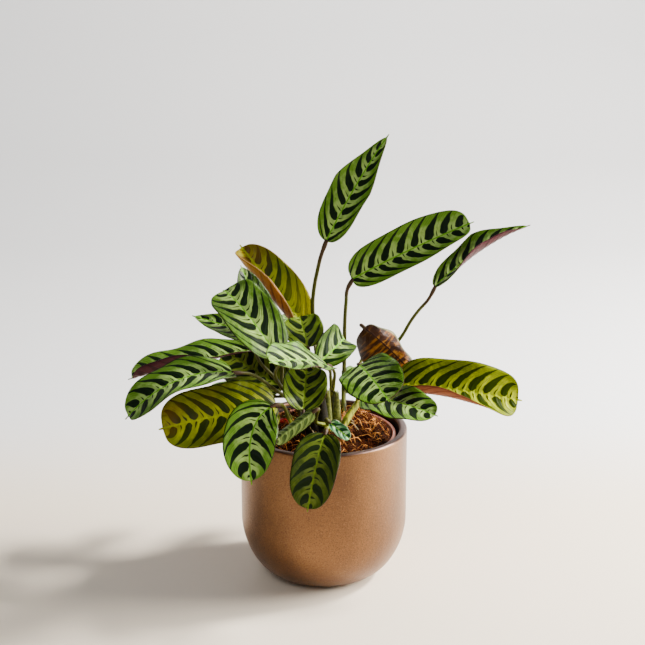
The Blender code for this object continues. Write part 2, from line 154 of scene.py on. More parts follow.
leaf("leaf_left_face", "shoot_left", (-41, -34, 217), (-89, 6, 264), (0.3, -1, 0.8), 58,
     arch=16, peak=0.75, vee=5, curl=(10, 10), blunt=2.8, widest=0.48, halves=(0.8, 0.87),
     wave=1.6, via=((-43, -20, 195),), light=0.72)
leaf("leaf_left_behind_low", "shoot_left", (-46, 12, 216), (-121, 58, 225), (0, -0.5, 1),
     34, blunt=1.7, drawn=0.5)
leaf("leaf_left_behind_high", "shoot_left", (-50, 2, 230), (-74, 24, 282), (0.4, -0.8, 0.7),
     36, blunt=1.8, drawn=0.35, halves=(1.0, 0.8), via=((-25, 12, 182), (-36, 8, 214)),
     light=0.35)
leaf("leaf_left_upper", "shoot_left", (-66, 5, 209), (-172, -24, 191), (-0.1, -0.3, 1), 40,
     arch=3, vee=22, curl=(20, 5), curl_tip=(165, 5), blunt=2.8, halves=(1.1, 1.0), wave=1.8,
     via=((-36, 1, 174), (-45, 2, 185), (-58, 3, 200)))
leaf("leaf_left_lower", "shoot_left", (-79, -34, 201), (-170, -68, 170), (0, -0.35, 1), 42,
     arch=34, blunt=3.2, wave=1.6, via=((-42, -16, 178), (-66, -25, 197)))
leaf("leaf_left_yellow", "shoot_front_left", (-41, -36, 170), (-142, -66, 160),
     (0.05, -0.9, 0.8), 56, arch=10, vee=5, blunt=3.2, colour=LEAF_YELLOW_BACKLIT, traits=("tanned",))
leaf("leaf_front_left", "shoot_front_left", (-45, -58, 178), (-61, -98, 122), (-0.1, -1, 0.7),
     48, arch=9, peak=0.3, sweep=20, widest=0.56, blunt=2.2, light=1.2)
leaf("leaf_front", "shoot_front", (1, -66, 156), (-14, -100, 98), (-0.2, -1, 0.6), 42,
     arch=14, peak=0.4, colour=LEAF_SHADED, via=((1, -46, 151),), light=0.45)
leaf("leaf_right_yellow", "shoot_right", (66, 4, 178), (177, -6, 165), (0, -1, 0.75), 54,
     arch=10, vee=5, curl=(10, 150), curl_tip=(10, 10), blunt=3.2, wave=1.7,
     colour=LEAF_YELLOW_BACKLIT, traits=("matt",))
leaf("leaf_right_low", "shoot_right", (36, -20, 174), (97, -76, 176), (0, -0.7, 1), 46,
     arch=8, wave=2.0, halves=(0.76, 1.0))
leaf("leaf_front_right", "shoot_right", (31, -20, 203), (55, -96, 196), (-0.35, -0.35, 1), 52,
     arch=9, vee=4, blunt=2.6, wave=1.6, via=((36, -4, 186), (35, -12, 199)),
     light=0.68, traits=("matt",))
leaf("leaf_middle_right", "shoot_middle", (-4, -16, 204), (18, 24, 214), (0.5, -0.6, 0.6), 36,
     arch=12, peak=0.7, vee=14, blunt=2.8, halves=(1.0, 0.84),
     via=((6, -1, 184), (4, -12, 197)), arrival=3.0, light=0.28, traits=("matt",))
leaf("leaf_middle_flat", "shoot_middle", (3, -32, 207), (-46, -87, 227), (0.1, -0.35, 1), 46,
     arch=8, wave=1.8, via=((9, -10, 184), (9, -22, 198)), light=0.95)
leaf("leaf_middle_low", "shoot_front_left", (-18, -36, 166), (-15, 4, 194), (0, -1, 0.6), 41,
     arch=4, vee=10, colour=LEAF_SHADED, light=1.6)
leaf("leaf_middle_back", "shoot_back", (-14, -1, 213), (-22, 26, 234), (0, -0.7, 0.8), 36,
     arch=8, colour=LEAF_SHADED, via=((-9, 14, 188), (-11, 8, 202)), light=1.3)
leaf("leaf_right_drooping", "shoot_dark", (37, 34, 221), (86, 26, 174), (0.0, 0.95, 0.3), 58,
     vee=16, arch=2, sweep=3, widest=0.42, curl=(20, 60), curl_tip=(15, 80), blunt=1.9,
     halves=(1.3, 0.46), drawn=0.5, wave=4.2, via=((37, 58, 188), (40, 52, 208)), arrival=3.6,
     traits=("streaked",))
leaf("leaf_left_shaded", "shoot_left", (-36, 6, 172), (-92, 50, 194), (0.1, -0.8, 0.6), 54,
     colour=LEAF_SHADED)
leaf("leaf_new_front", "shoot_front", (5, -40, 157), (23, -42, 142), (0.3, -1, 0.6), 13,
     vee=20, edge=(0.5, 0.55, 0.38), traits=("young", "pale_under"))
leaf("leaf_new_rolled", "shoot_front", (-9, -49, 170), (-44, -63, 147), (-0.2, 1, -0.8), 26,
     vee=30, curl=(70, 70), via=((-6, -34, 154),), light=1.2, traits=("pale_under",))
# Guesses for the side that the photo doesn't show
for place, shoot, base, tip, width, arch, via in (
        ("right", "shoot_dark", (82, 62, 156), (172, 108, 142), 44, 14, ((48, 50, 157),)),
        ("left", "shoot_back_left", (-52, 50, 150), (-128, 95, 125), 44, 14, ()),
        ("high", "shoot_back", (-25, 40, 208), (-45, 120, 205), 44, 18, ()),
        ("low", "shoot_back_left", (-22, 45, 165), (-38, 125, 138), 46, 18, ()),
        ("middle", "shoot_dark", (28, 50, 160), (56, 126, 136), 46, 14, ())):
    leaf("leaf_back_" + place, shoot, base, tip, (0, -0.2, 1), width, arch=arch, via=via)


def bend(foot_radius, radius, floor, height):
    """The pot's rounded foot, from its flat underside up to its upright wall."""
    points = []
    for step in range(BEND_POINTS + 1):
        angle = 0.5 * math.pi * step / BEND_POINTS
        points.append((
            foot_radius + (radius - foot_radius) * math.sin(angle) ** BEND_POWER,
            floor + (height - floor) * (1 - math.cos(angle) ** BEND_POWER),
        ))
    return points


def nursery_radius(height):
    """The nursery pot's outer radius below its rim band."""
    floor = POT_WALL + GAP
    share = (height - floor) / (NURSERY_TOP - floor)
    top = NURSERY_RIM_RADIUS - NURSERY_RIM_STEP
    return NURSERY_FOOT_RADIUS + (top - NURSERY_FOOT_RADIUS) * share


def soil_height(x, y):
    """The soil's surface: a low mound with lumps, flat against the nursery pot's wall."""
    distance = math.hypot(x, y) / NURSERY_RIM_RADIUS
    mound = SOIL_MOUND * max(0.0, 1 - distance ** 2)
    lumps = math.sin(0.31 * x + 1.3) * math.cos(0.27 * y) + 0.6 * math.sin(0.5 * (x + y))
    return SOIL_TOP + mound + SOIL_ROUGHNESS * lumps * (1 - distance ** 4)


def unit(vector):
    """The direction of each vector in the last axis, one long."""
    return vector / np.linalg.norm(vector, axis=-1, keepdims=True)


def midrib(form, along):
    """Points of the midrib, with its direction and the blade's upper side at each."""
    base = np.array(form["base"], float)
    tip = np.array(form["tip"], float)
    chord = tip - base
    face = np.array(form["face"], float)
    upper = unit(face - unit(chord) * np.dot(face, unit(chord)))
    right = np.cross(unit(chord), upper)
    bow = base + form["peak"] * chord + form["arch"] * upper + form["sweep"] * right
    share = along[:, None]
    points = (1 - share) ** 2 * base + 2 * share * (1 - share) * bow + share ** 2 * tip
    ahead = unit(2 * (1 - share) * (bow - base) + 2 * share * (tip - bow))
    level = unit(upper - ahead * (ahead @ upper)[:, None])
    turn = np.radians(form["twist"]) * (share - 0.5)
    normal = np.cos(turn) * level + np.sin(turn) * np.cross(ahead, level)
    return points, ahead, normal


def outline(form, along):
    """The blade's half width along the midrib, as a share of its greatest half width."""
    body = np.clip(along / (1 - MUCRO_SHARE), 0, 1)
    warped = body ** (math.log(0.5) / math.log(form["widest"]))
    rounded = (1 - np.abs(2 * warped - 1) ** form["blunt"]) ** (1 / form["blunt"])
    rounded *= 1 - form["drawn"] * np.clip((along - DRAWN_FROM) / (1 - DRAWN_FROM), 0, 1)
    ends = np.interp(along, *END_SHARES)
    return np.maximum(rounded, ends)


def spans_of(points):
    """The distance from each point to the next."""
    return np.linalg.norm(np.diff(points, axis=0), axis=1)


def through(points, count):
    """Evenly spaced points on a smooth curve through the given ones."""
    points = np.array(points)
    spans = spans_of(points)
    stops = np.append(0, np.cumsum(spans))
    slopes = np.gradient(points, stops, axis=0)
    curve = []
    for place in np.linspace(0, stops[-1], count):
        index = min(np.searchsorted(stops, place, side="right") - 1, len(spans) - 1)
        span = spans[index]
        t = (place - stops[index]) / span
        curve.append((2 * t ** 3 - 3 * t ** 2 + 1) * points[index]
                     + (t ** 3 - 2 * t ** 2 + t) * span * slopes[index]
                     + (3 * t ** 2 - 2 * t ** 3) * points[index + 1]
                     + (t ** 3 - t ** 2) * span * slopes[index + 1])
    return np.array(curve)


def stem_points(shoot):
    """Upright in its hole in the soil, then bowed over towards its top."""
    (x, y), top, _, _, _ = SHOOTS[shoot]
    ground = soil_height(x, y)
    start = np.array([x, y, ground + STEM_UPRIGHT])
    top = np.array(top, float)
    above = start + np.array([0, 0, STEM_LEAN * (top[2] - start[2])])
    share = np.linspace(0, 1, STEM_RINGS)[:, None]
    bowed = (1 - share) ** 2 * start + 2 * share * (1 - share) * above + share ** 2 * top
    return np.vstack([[x, y, ground - STEM_DEPTH], bowed])


def petiole_points(form):
    """From inside the stem's top to just past the blade's base, along its midrib."""
    stem = stem_points(form["shoot"])
    foot = stem[-2]
    points, ahead, _ = midrib(form, np.array([0.0]))
    end = points[0] + PETIOLE_OVERLAP * ahead[0]
    middle = form["via"] or [stem[-1] + PETIOLE_FOLLOW * (stem[-1] - foot)]
    before = end - form["arrival"] * ahead[0]
    return through([foot, *middle, before, end], PETIOLE_RINGS)


def petiole_radii(points, stalk):
    """Thick where the petiole leaves the stem, slim above, swollen just under the blade."""
    to_end = np.append(np.cumsum(spans_of(points)[::-1])[::-1], 0)
    share = to_end / to_end[0]
    radii = stalk + (PETIOLE_FOOT_RADIUS - stalk) * share ** 2
    swell = np.clip(1 - to_end / PULVINUS_LENGTH, 0, 1)
    return radii + PULVINUS_SWELL * np.sin(math.pi * swell)


# A blade's thickness, rows, columns in each half and how they crowd to the midrib, with
# a middle column a hair to its right
BLADE_SKIN = 0.5
BLADE_ROWS = 104
HALF_COLUMNS = 14
CROWDING = 1.4
MIDDLE_COLUMN = 1e-5
# Its relief: the rise between side veins, slower waves, the midrib's groove and keel
QUILT = 0.22
SLOW_WAVE = 0.35
SLOW_TURNS = (3, 5)
RIB_HALF_WIDTH = 0.8
RIB_FADE = 0.75
RIB_GROOVE = 0.18
RIB_KEEL = 0.75
BLADE_SEED = 100
# Millimetres to the units of the blade's size map
MAP_SCALE = 0.01

# Side veins: their sweep forward near the midrib and at the edge, how it fades towards
# the tip, how far the right side's stand ahead, and the room for each in millimetres
SWEEP_NEAR = 0.06
SWEEP_FAR = 0.62
SWEEP_POWER = 2.2
TIP_FADE = 0.75
SIDE_SHIFT = 0.42
BAND_SPACING = 14.5
YOUNG_BAND_SPACING = 8.0
YOUNG_WIDTH = 30

# Tubes: sides, steps along, ribs, and how much plumper a petiole is than its solid
TUBE_SIDES = 14
STEM_STEPS = 26
PETIOLE_STEPS = 44
STEM_RIBS = 0.07
PETIOLE_RIBS = 0.05
RIB_TURN = 2.1
PLUMP = 1.22
# Start and share of a stem and of a petiole in the tube map
STEM_PART = (0.0, 0.49)
PETIOLE_PART = (0.51, 0.49)

# The pot, the nursery pot and the soil
TURN_STEPS = 144
ON_AXIS = 1e-6
SHARP_ANGLE = 50
INNER_LIP = 2.4
OUTER_LIP = 2.2
LIP_POINTS = 7
NURSERY_EASE = 0.4
NURSERY_ROUND = 0.5
SOIL_STEPS = 40
SOIL_SINK = 0.5
LUMP_HEIGHT = 2.8
LUMP_SCALE = 0.11
CRUMB_HEIGHT = 0.9
CRUMB_SCALE = 0.55

# Coir fibres, with ranges in millimetres and radians
FIBRES = 2300
FIBRE_SEED = 11
FIBRE_POINTS = 7
FIBRE_LEAST = 4
FIBRE_TURN = 0.5
FIBRE_WANDER = 0.35
FIBRE_STEP = (1.2, 3.4)
FIBRE_LIFT = 7.0
FIBRE_CLEAR = 0.35
FIBRE_RADIUS = (0.16, 0.42)
FIBRE_END = 0.35

# Colours of a leaf: ground, lighter ground (partly painted highlight), dark bands, midrib,
# underside light and dark
LOOKS = {
    LEAF_GREEN: ((0.08, 0.195, 0.007), (0.38, 0.58, 0.14), (0.002, 0.01, 0.0005),
                 (0.13, 0.36, 0.008), (0.052, 0.01, 0.015), (0.03, 0.006, 0.009)),
    # leaf_yellow: yellow-green colours, brightened as painted light shining through the blade
    # from behind
    LEAF_YELLOW_BACKLIT: ((0.125, 0.16, 0.001), (0.34, 0.39, 0.005), (0.017, 0.029, 0.0005),
                  (0.32, 0.38, 0.003), (0.2, 0.065, 0.028), (0.12, 0.036, 0.016)),
    LEAF_SHADED: ((0.075, 0.125, 0.006), (0.17, 0.24, 0.025), (0.006, 0.015, 0.001),
                  (0.13, 0.21, 0.008), (0.1, 0.028, 0.022), (0.035, 0.01, 0.009)),
}
# The most that its light factor, painted light and shade, may make of a leaf's two grounds
GROUND_MOST = 0.8
PALE_MOST = 0.85
YOUNG_LOOK = ((0.06, 0.3, 0.09), (0.5, 0.78, 0.42), (0.004, 0.06, 0.016))
# Undersides that aren't maroon: light and dark
RUST = ((0.33, 0.115, 0.016), (0.15, 0.045, 0.009))
PALE = ((0.2, 0.3, 0.07), (0.055, 0.1, 0.02))
# An underside with streaks in place of bands, and a pale strip along one edge painted as the
# glossy highlight where the margin turns over
MAROON_BROWN = ((0.16, 0.05, 0.01), (0.4, 0.17, 0.02), (0.022, 0.008, 0.007))
PALE_HIGHLIGHT_STRIP = (0.3, 0.34, 0.18)
SUNLIT_UPPER = (0.46, 0.44, 0.002)
SUNLIT_UNDER = (0.46, 0.25, 0.01)
TAN = (0.22, 0.105, 0.006)
MATT_SHINE = 0.03
LEAF_SHINE = 0.13

# Colours of the stems: streaks, light and dark, of a green and a dark one
STREAKS = {
    GREEN_STEM: ((0.46, 0.52, 0.04), (0.14, 0.17, 0.012)),
    DARK_STEM: ((0.16, 0.2, 0.03), (0.045, 0.055, 0.014)),
}
STEM_PATCH = (0.15, 0.1, 0.03)
PETIOLE_STREAKS = ((0.085, 0.11, 0.01), (0.045, 0.032, 0.006))
SWOLLEN_STREAKS = ((0.03, 0.018, 0.008), (0.07, 0.035, 0.016))
STEM_SHINE = 0.18

# Colours of the pot's outside, its lip and its inside, the inside painted near black as the shade
# within the pot
COPPER = ((0.155, 0.066, 0.018), (0.27, 0.125, 0.04))
COPPER_SMUDGE = (0.085, 0.033, 0.009)
COPPER_PORE = (0.05, 0.021, 0.007)
COPPER_GLINT = (0.46, 0.26, 0.12)
COPPER_LIP = (0.13, 0.08, 0.075)
COPPER_INSIDE_SHADE = ((0.01, 0.006, 0.005), (0.035, 0.02, 0.016))
# Colours of the nursery pot, the soil and its fibres
NURSERY_PINK = ((0.44, 0.16, 0.115), (0.6, 0.33, 0.26))
SOIL_BROWN = ((0.006, 0.002, 0.001), (0.1, 0.03, 0.008))
SOIL_PATCH = (0.03, 0.01, 0.006)
FIBRE_BROWN = ((0.004, 0.0015, 0.001), (0.105, 0.022, 0.0015))
# The brightest fibres: partly the coir's own light strands, partly painted highlight
FIBRE_BRIGHT = (0.85, 0.36, 0.08)
SOIL_SHINE = 0.1
FIBRE_SHINE = 0.12
LITTER_SHINE = 0.25

# The red scrap: its middle and its height over the soil's edge, half sizes and bulge
SCRAP_PLACE = (-37, 8, 8.0)
SCRAP_HALF = (5.6, 4.4)
SCRAP_BULGE = 4.2
SCRAP_SIDE = 7
SCRAP_THICKNESS = 1.2
CUT_STALK = ((-37, 20, 140), (-33, 16, 142), (-27, 10, 142), (-22, 6, 139))
CUT_STALK_RADII = (1.5, 2.1)
CUT_STALK_STEPS = 12
DRY_THREADS = (
    ((-12, -34, 150), (-8, -40, 146), (-3, -46, 141)),
    ((20, -12, 142), (24, -16, 148), (31, -22, 143)),
    ((10, 2, 145), (18, -2, 151), (27, -10, 146)),
)
THREAD_RADIUS = 0.4
THREAD_STEPS = 10
# Leaf bases: two colours, roughness, slot, and each one's x, y, height, radius and turn
SHEATHS = {
    # Near-black leaf bases: painted shade, dark sheets set among the feet of the stems where they
    # stand in shadow
    "painted_shade_sheath": ((0.005, 0.004, 0.001), (0.018, 0.013, 0.003), 0.8, DARK_STEM,
                   ((-18, -26, 24, 6, 0.2), (-10, -27, 30, 7, 0.5), (-2, -24, 34, 7, 0.2),
                    (-12, -14, 32, 8, 0.1))),
    "green_sheath": ((0.07, 0.09, 0.01), (0.17, 0.19, 0.03), 0.5, GREEN_STEM,
                     ((4, -20, 42, 4.5, -0.3), (11, -15, 37, 4.5, 0.2), (9, -6, 34, 5, 0.4))),
    "pink_sheath": ((0.5, 0.2, 0.17), (0.22, 0.07, 0.05), 0.6, DARK_STEM,
                    ((1, -6, 22, 3, 0.3), (15, -12, 16, 3, -0.4))),
}
SHEATH_SIDE = 9
SHEATH_DEPTH = 4
SHEATH_OPENING = 1.4
SHEATH_THICKNESS = 0.6

# The stage, in metres: the floor's profile is in (y, z), and its colour changes along y
FLOOR_HALF_WIDTH = 9.0
FLOOR_PROFILE = ((-9.0, 0.0), (1.2, 0.0), (1.6, 0.05), (1.9, 0.25), (2.05, 0.6),
                 (2.1, 1.2), (2.1, 4.0))
FLOOR_NEAR = (0.88, 0.775, 0.63)
FLOOR_FAR = (0.86, 0.87, 0.89)
FLOOR_CHANGE = (0.1, 0.45)
SKY = (0.86, 0.9, 0.95, 1.0)
SKY_STRENGTH = 0.28
WARM = (1.0, 0.95, 0.88)
# Each light: its place, target, width, power and colour
LIGHTS = {
    "key": ((1.35, 0.45, 1.35), (0, 0, 0.15), 0.32, 110, WARM),
    "right": ((1.5, 0.15, 0.6), (0, 0, 0.12), 0.9, 88, WARM),
    "front": ((-0.5, -1.7, 1.9), (0, 0, 0.2), 1.0, 9, (1, 1, 1)),
}
CAMERA_PLACE = (-0.00117, -1.405, 0.6643)
CAMERA_DOWN = 16.95
CAMERA_LENS = 92.75
CAMERA_SENSOR = 36.0


# Shader helpers
class Term:
    """A number in a shader tree that takes part in sums and products."""

    def __init__(self, tree, socket):
        self.tree = tree
        self.socket = socket

    def math(self, kind, *others):
        node = self.tree.nodes.new("ShaderNodeMath")
        node.operation = kind
        for place, value in enumerate((self, *others)):
            set_input(node, place, value)
        return Term(self.tree, node.outputs[0])

    def __add__(self, other):
        return self.math("ADD", other)

    def __sub__(self, other):
        return self.math("SUBTRACT", other)

    def __mul__(self, other):
        return self.math("MULTIPLY", other)

    def __pow__(self, other):
        return self.math("POWER", other)

    def flipped(self):
        return (self * -1.0) + 1.0

    def step(self, low, high):
        """Rises smoothly from 0 at low to 1 at high; either end may be a Term."""
        node = self.tree.nodes.new("ShaderNodeMapRange")
        node.interpolation_type = "SMOOTHSTEP"
        set_input(node, "Value", self)
        set_input(node, "From Min", low)
        set_input(node, "From Max", high)
        return Term(self.tree, node.outputs[0])


def set_input(node, place, value):
    """Links a Term to one of a node's inputs, or sets the input to a plain value."""
    if isinstance(value, Term):
        value.tree.links.new(value.socket, node.inputs[place])
    else:
        node.inputs[place].default_value = value


def mixed(share, first, second):
    """The colour between two, each a Term or an (r, g, b), by a share that is a Term."""
    node = share.tree.nodes.new("ShaderNodeMix")
    node.data_type = "RGBA"
    set_input(node, 0, share)
    for place, value in ((6, first), (7, second)):
        set_input(node, place, value if isinstance(value, Term) else (*value, 1.0))
    return Term(share.tree, node.outputs[2])


def new_material(name, roughness, metallic=0.0, shine=None):
    material = bpy.data.materials.new(name)
    material.use_nodes = True
    shader = material.node_tree.nodes["Principled BSDF"]
    set_input(shader, "Roughness", roughness)
    set_input(shader, "Metallic", metallic)
    if shine is not None:
        set_input(shader, "Specular IOR Level", shine)
    return material, material.node_tree, shader


def parts_of(vector):
    """A vector's three values."""
    split = vector.tree.nodes.new("ShaderNodeSeparateXYZ")
    set_input(split, 0, vector)
    return [Term(vector.tree, output) for output in split.outputs]


def uv_terms(tree, name):
    """A map's vector and its two values."""
    node = tree.nodes.new("ShaderNodeUVMap")
    node.uv_map = name
    vector = Term(tree, node.outputs[0])
    return vector, *parts_of(vector)[:2]


def noise_term(vector, scale, detail=2.0, stretch=(1, 1, 1), seed=0.0):
    """Noise from about 0.3 to 0.7; a stretch below 1 draws it out along that axis."""
    tree = vector.tree
    mapping = tree.nodes.new("ShaderNodeMapping")
    set_input(mapping, "Scale", stretch)
    set_input(mapping, "Vector", vector)
    node = tree.nodes.new("ShaderNodeTexNoise")
    node.noise_dimensions = "4D"
    set_input(node, "W", seed)
    set_input(node, "Scale", scale)
    set_input(node, "Detail", detail)
    set_input(node, "Vector", Term(tree, mapping.outputs[0]))
    return Term(tree, node.outputs[0])


def object_place(tree):
    return Term(tree, tree.nodes.new("ShaderNodeTexCoord").outputs["Object"])


def set_bump(shader, height, depth):
    """Fine relief, with its depth in metres."""
    node = height.tree.nodes.new("ShaderNodeBump")
    set_input(node, "Distance", depth)
    set_input(node, "Strength", 1.0)
    set_input(node, "Height", height)
    set_input(shader, "Normal", Term(height.tree, node.outputs[0]))


# Meshes
def add_object(name, data):
    obj = bpy.data.objects.new(name, data)
    bpy.context.scene.collection.objects.link(obj)
    return obj


def new_piece(name, points, faces, slot, materials, *nodes, maps=(), kinds=None):
    """A smooth mesh object from points in millimetres, kept inside the solids' box.

    nodes are the solids that it replaces, maps holds pairs of a name and each point's
    values, and kinds holds the number of each face's material.
    """
    mesh = bpy.data.meshes.new(name)
    kept_inside = np.clip(np.asarray(points) * MM, *CAD_BOX)
    mesh.from_pydata(kept_inside.tolist(), [], faces)
    for map_name, values in maps:
        layer = mesh.uv_layers.new(name=map_name)
        index = np.empty(len(mesh.loops), np.int32)
        mesh.loops.foreach_get("vertex_index", index)
        layer.data.foreach_set("uv", np.asarray(values, np.float32)[index].ravel())
    for material in materials:
        mesh.materials.append(material)
    if kinds:
        mesh.polygons.foreach_set("material_index", kinds)
    mesh.shade_smooth()
    mesh.validate()
    obj = add_object(name, mesh)
    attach(obj, "root")
    if nodes:
        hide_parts(*nodes)
    return obj


def add_thickness(piece, thickness, offset):
    thicken = piece.modifiers.new("Solidify", "SOLIDIFY")
    thicken.thickness = thickness * MM
    thicken.offset = offset


def sheet_faces(first, side, flipped=False):
    """The faces of a square sheet of points, told row by row from the given first one."""
    faces = []
    for row in range(side - 1):
        for column in range(side - 1):
            at = first + side * row + column
            face = (at, at + 1, at + side + 1, at + side)
            faces.append((face[0], *face[:0:-1]) if flipped else face)
    return faces


def turned_piece(name, profile, slot, materials, node, lift=None, inside=0):
    """A solid turned round Z from a closed profile that starts and ends on the axis.

    The last inside rows of faces take the second material. lift moves the points.
    """
    angles = math.tau * np.arange(TURN_STEPS) / TURN_STEPS
    points = []
    rings = []
    for radius, height in profile:
        first = len(points)
        if radius < ON_AXIS:
            points.append((0.0, 0.0, height))
            rings.append([first] * TURN_STEPS)
        else:
            points += [(radius * math.cos(a), radius * math.sin(a), height) for a in angles]
            rings.append(list(range(first, first + TURN_STEPS)))
    faces = []
    for upper, lower in zip(rings, rings[1:]):
        for i in range(TURN_STEPS):
            j = (i + 1) % TURN_STEPS
            faces.append(list(dict.fromkeys((upper[i], lower[i], lower[j], upper[j]))))
    points = np.array(points)
    if lift:
        points = lift(points)
    kinds = [0] * (len(faces) - inside * TURN_STEPS) + [1] * (inside * TURN_STEPS)
    piece = new_piece(name, points, faces, slot, materials, node, kinds=kinds)
    piece.data.set_sharp_from_angle(angle=math.radians(SHARP_ANGLE))
    return piece


def arc(centre, radius, start, end, count):
    """Points of an arc in a profile, with its ends in degrees."""
    return [(centre[0] + radius * math.cos(a), centre[1] + radius * math.sin(a))
            for a in np.radians(np.linspace(start, end, count))]


def add_tube(mesh, points, radii, sides, flute=0.0, phase=0.0, part=(0, 1), shade=None):
    """Adds a closed tube with three slight ribs to lists of vertices, faces and values.

    A value is how far round the point is, or the shade, and its place in the given part.
    """
    vertices, faces, values = mesh
    first = len(vertices)
    points = np.array(points, float)
    ahead = unit(np.gradient(points, axis=0))
    side = np.cross(ahead[0], (0.3, 0.9, 0.2))
    side /= np.linalg.norm(side)
    angles = math.tau * np.arange(sides) / sides
    steps = np.append(0, np.cumsum(spans_of(points)))
    for index, (point, forward, radius) in enumerate(zip(points, ahead, radii)):
        side = side - forward * np.dot(side, forward)
        side /= np.linalg.norm(side)
        other = np.cross(forward, side)
        for k, angle in enumerate(angles):
            reach = radius * (1 + flute * math.cos(3 * angle + phase))
            vertices.append(point + reach * (math.cos(angle) * side + math.sin(angle) * other))
            around = abs(2 * k / sides - 1) if shade is None else shade
            values.append((around, part[0] + part[1] * (steps[index] / steps[-1])))
    for ring in range(len(points) - 1):
        low = first + ring * sides
        for k in range(sides):
            nxt = (k + 1) % sides
            faces.append((low + k, low + nxt, low + sides + nxt, low + sides + k))
    faces.append(tuple(range(first + sides - 1, first - 1, -1)))
    last = first + (len(points) - 1) * sides
    faces.append(tuple(range(last, last + sides)))


# Leaves and shoots
def blade_grid(form, along, across):
    """The blade's middle surface, on finer rows and columns than the solid."""
    points, ahead, normal = midrib(form, along)
    right = np.cross(ahead, normal)
    reach = outline(form, along)
    vee = math.radians(form["vee"])
    grid = np.zeros((len(along), len(across), 3))
    for column, place in enumerate(across):
        side = 0 if place < 0 else 1
        half = 0.5 * form["width"] * form["halves"][side]
        near = math.radians(form["curl"][side])
        far = math.radians(form["curl_tip"][side])
        curl = near + (far - near) * along ** 2
        turn = vee + curl * abs(place) * reach
        out = (np.sin(turn) - math.sin(vee)) * half / curl
        rise = (math.cos(vee) - np.cos(turn)) * half / curl
        ripple = np.sin(math.tau * (WAVES * along + 0.5 * side))
        rise += form["wave"] * place ** 2 * reach * ripple
        grid[:, column] = (points + right * (math.copysign(1, place) * out)[:, None]
                           + normal * rise[:, None])
    return grid


def length_of(form):
    return np.linalg.norm(np.subtract(form["tip"], form["base"]))


def bands_of(form):
    """How many side veins a blade has room for on each side."""
    length = length_of(form)
    return length / (BAND_SPACING if form["width"] > YOUNG_WIDTH else YOUNG_BAND_SPACING)


def slimness(form):
    """The blade's width as a share of its length."""
    return form["width"] / length_of(form)


def blade_relief(form, along, across, rng):
    """The quilted lift of a blade's surface and the strength of its midrib."""
    size = np.abs(across)[None, :]
    reach = outline(form, along)[:, None]
    swept_by = (SWEEP_NEAR * size + SWEEP_FAR * size ** SWEEP_POWER) * slimness(form)
    swept_by = swept_by * (1 - TIP_FADE * along[:, None] ** 3)
    place = along[:, None] - swept_by + (across > 0)[None, :] * SIDE_SHIFT / bands_of(form)
    quilt = QUILT * np.cos(math.tau * bands_of(form) * 2 * place)
    turns = rng.uniform(*SLOW_TURNS) * along + rng.uniform()
    slow = SLOW_WAVE * np.sin(math.tau * turns)[:, None]
    lift = (quilt + slow * size ** 3) * (1 - size ** 8) * np.minimum(1, 3 * reach)
    distance = size * reach * 0.5 * form["width"]
    rib = (np.exp(-(distance / RIB_HALF_WIDTH) ** 2) * (1 - RIB_FADE * along[:, None])
           * np.minimum(1, 4 * reach))
    return lift, rib, distance


def blade_faces(points, normal, shape):
    """The faces of the upper side, then of the lower side and the edge, and their kinds."""
    rows, columns = shape
    number = np.arange(rows * columns).reshape(rows, columns)
    corners = [number[:-1, :-1], number[:-1, 1:], number[1:, 1:], number[1:, :-1]]
    quads = np.stack([c.ravel() for c in corners], axis=1)
    below = quads[:, ::-1] + number.size
    ring = np.concatenate([number[0, :], number[1:, -1], number[-1, -2::-1], number[-2:0:-1, 0]])
    after = np.roll(ring, -1)
    edge = np.stack([ring, ring + number.size, after + number.size, after], axis=1)
    faces = np.concatenate([quads, below, edge])
    first = points[quads[len(quads) // 2]]
    facing = np.cross(first[1] - first[0], first[2] - first[1])
    if np.dot(facing, normal[rows // 2, columns // 2]) < 0:
        faces = faces[:, ::-1]
    return faces.tolist(), [0] * len(quads) + [1] * (len(below) + len(edge))


def two_sided_map(first, second, shape):
    """A map's values for the points of the upper side, then the same for the lower side."""
    values = [np.broadcast_to(first, shape), np.broadcast_to(second, shape)]
    return np.tile(np.stack(values, axis=-1).reshape(-1, 2), (2, 1))


def make_blade_piece(form, index):
    rng = np.random.default_rng(BLADE_SEED + index)
    rows = np.linspace(0, 1, BLADE_ROWS)
    along = 0.5 * rows + 0.5 * (0.5 - 0.5 * np.cos(np.pi * rows))
    half_columns = np.linspace(0, 1, HALF_COLUMNS + 1) ** CROWDING
    across = np.concatenate([-half_columns[:0:-1], [MIDDLE_COLUMN], half_columns[1:]])
    grid = blade_grid(form, along, across)
    normal = unit(np.cross(np.gradient(grid, axis=1), np.gradient(grid, axis=0)))
    _, _, upper = midrib(form, np.array([0.5]))
    if np.dot(normal[BLADE_ROWS // 2, HALF_COLUMNS], upper[0]) < 0:
        normal = -normal
    lift, rib, distance = blade_relief(form, along, across, rng)
    top = grid + normal * (lift + 0.5 * BLADE_SKIN - RIB_GROOVE * rib)[..., None]
    bottom = grid + normal * (lift - 0.5 * BLADE_SKIN - RIB_KEEL * rib)[..., None]
    points = np.concatenate([top.reshape(-1, 3), bottom.reshape(-1, 3)])
    shape = grid.shape[:2]
    faces, kinds = blade_faces(points, normal, shape)
    wide = np.sign(across)[None, :] * distance * MAP_SCALE
    long = along[:, None] * length_of(form) * MAP_SCALE
    blade_map = two_sided_map(0.5 + 0.5 * across[None, :], along[:, None], shape)
    size_map = two_sided_map(wide, long, shape)
    materials = [leaf_material(form, index, under) for under in (False, True)]
    new_piece(form["name"] + "_blade", points, faces, form["colour"], materials, form["name"],
              maps=(("blade", blade_map), ("size", size_map)), kinds=kinds)


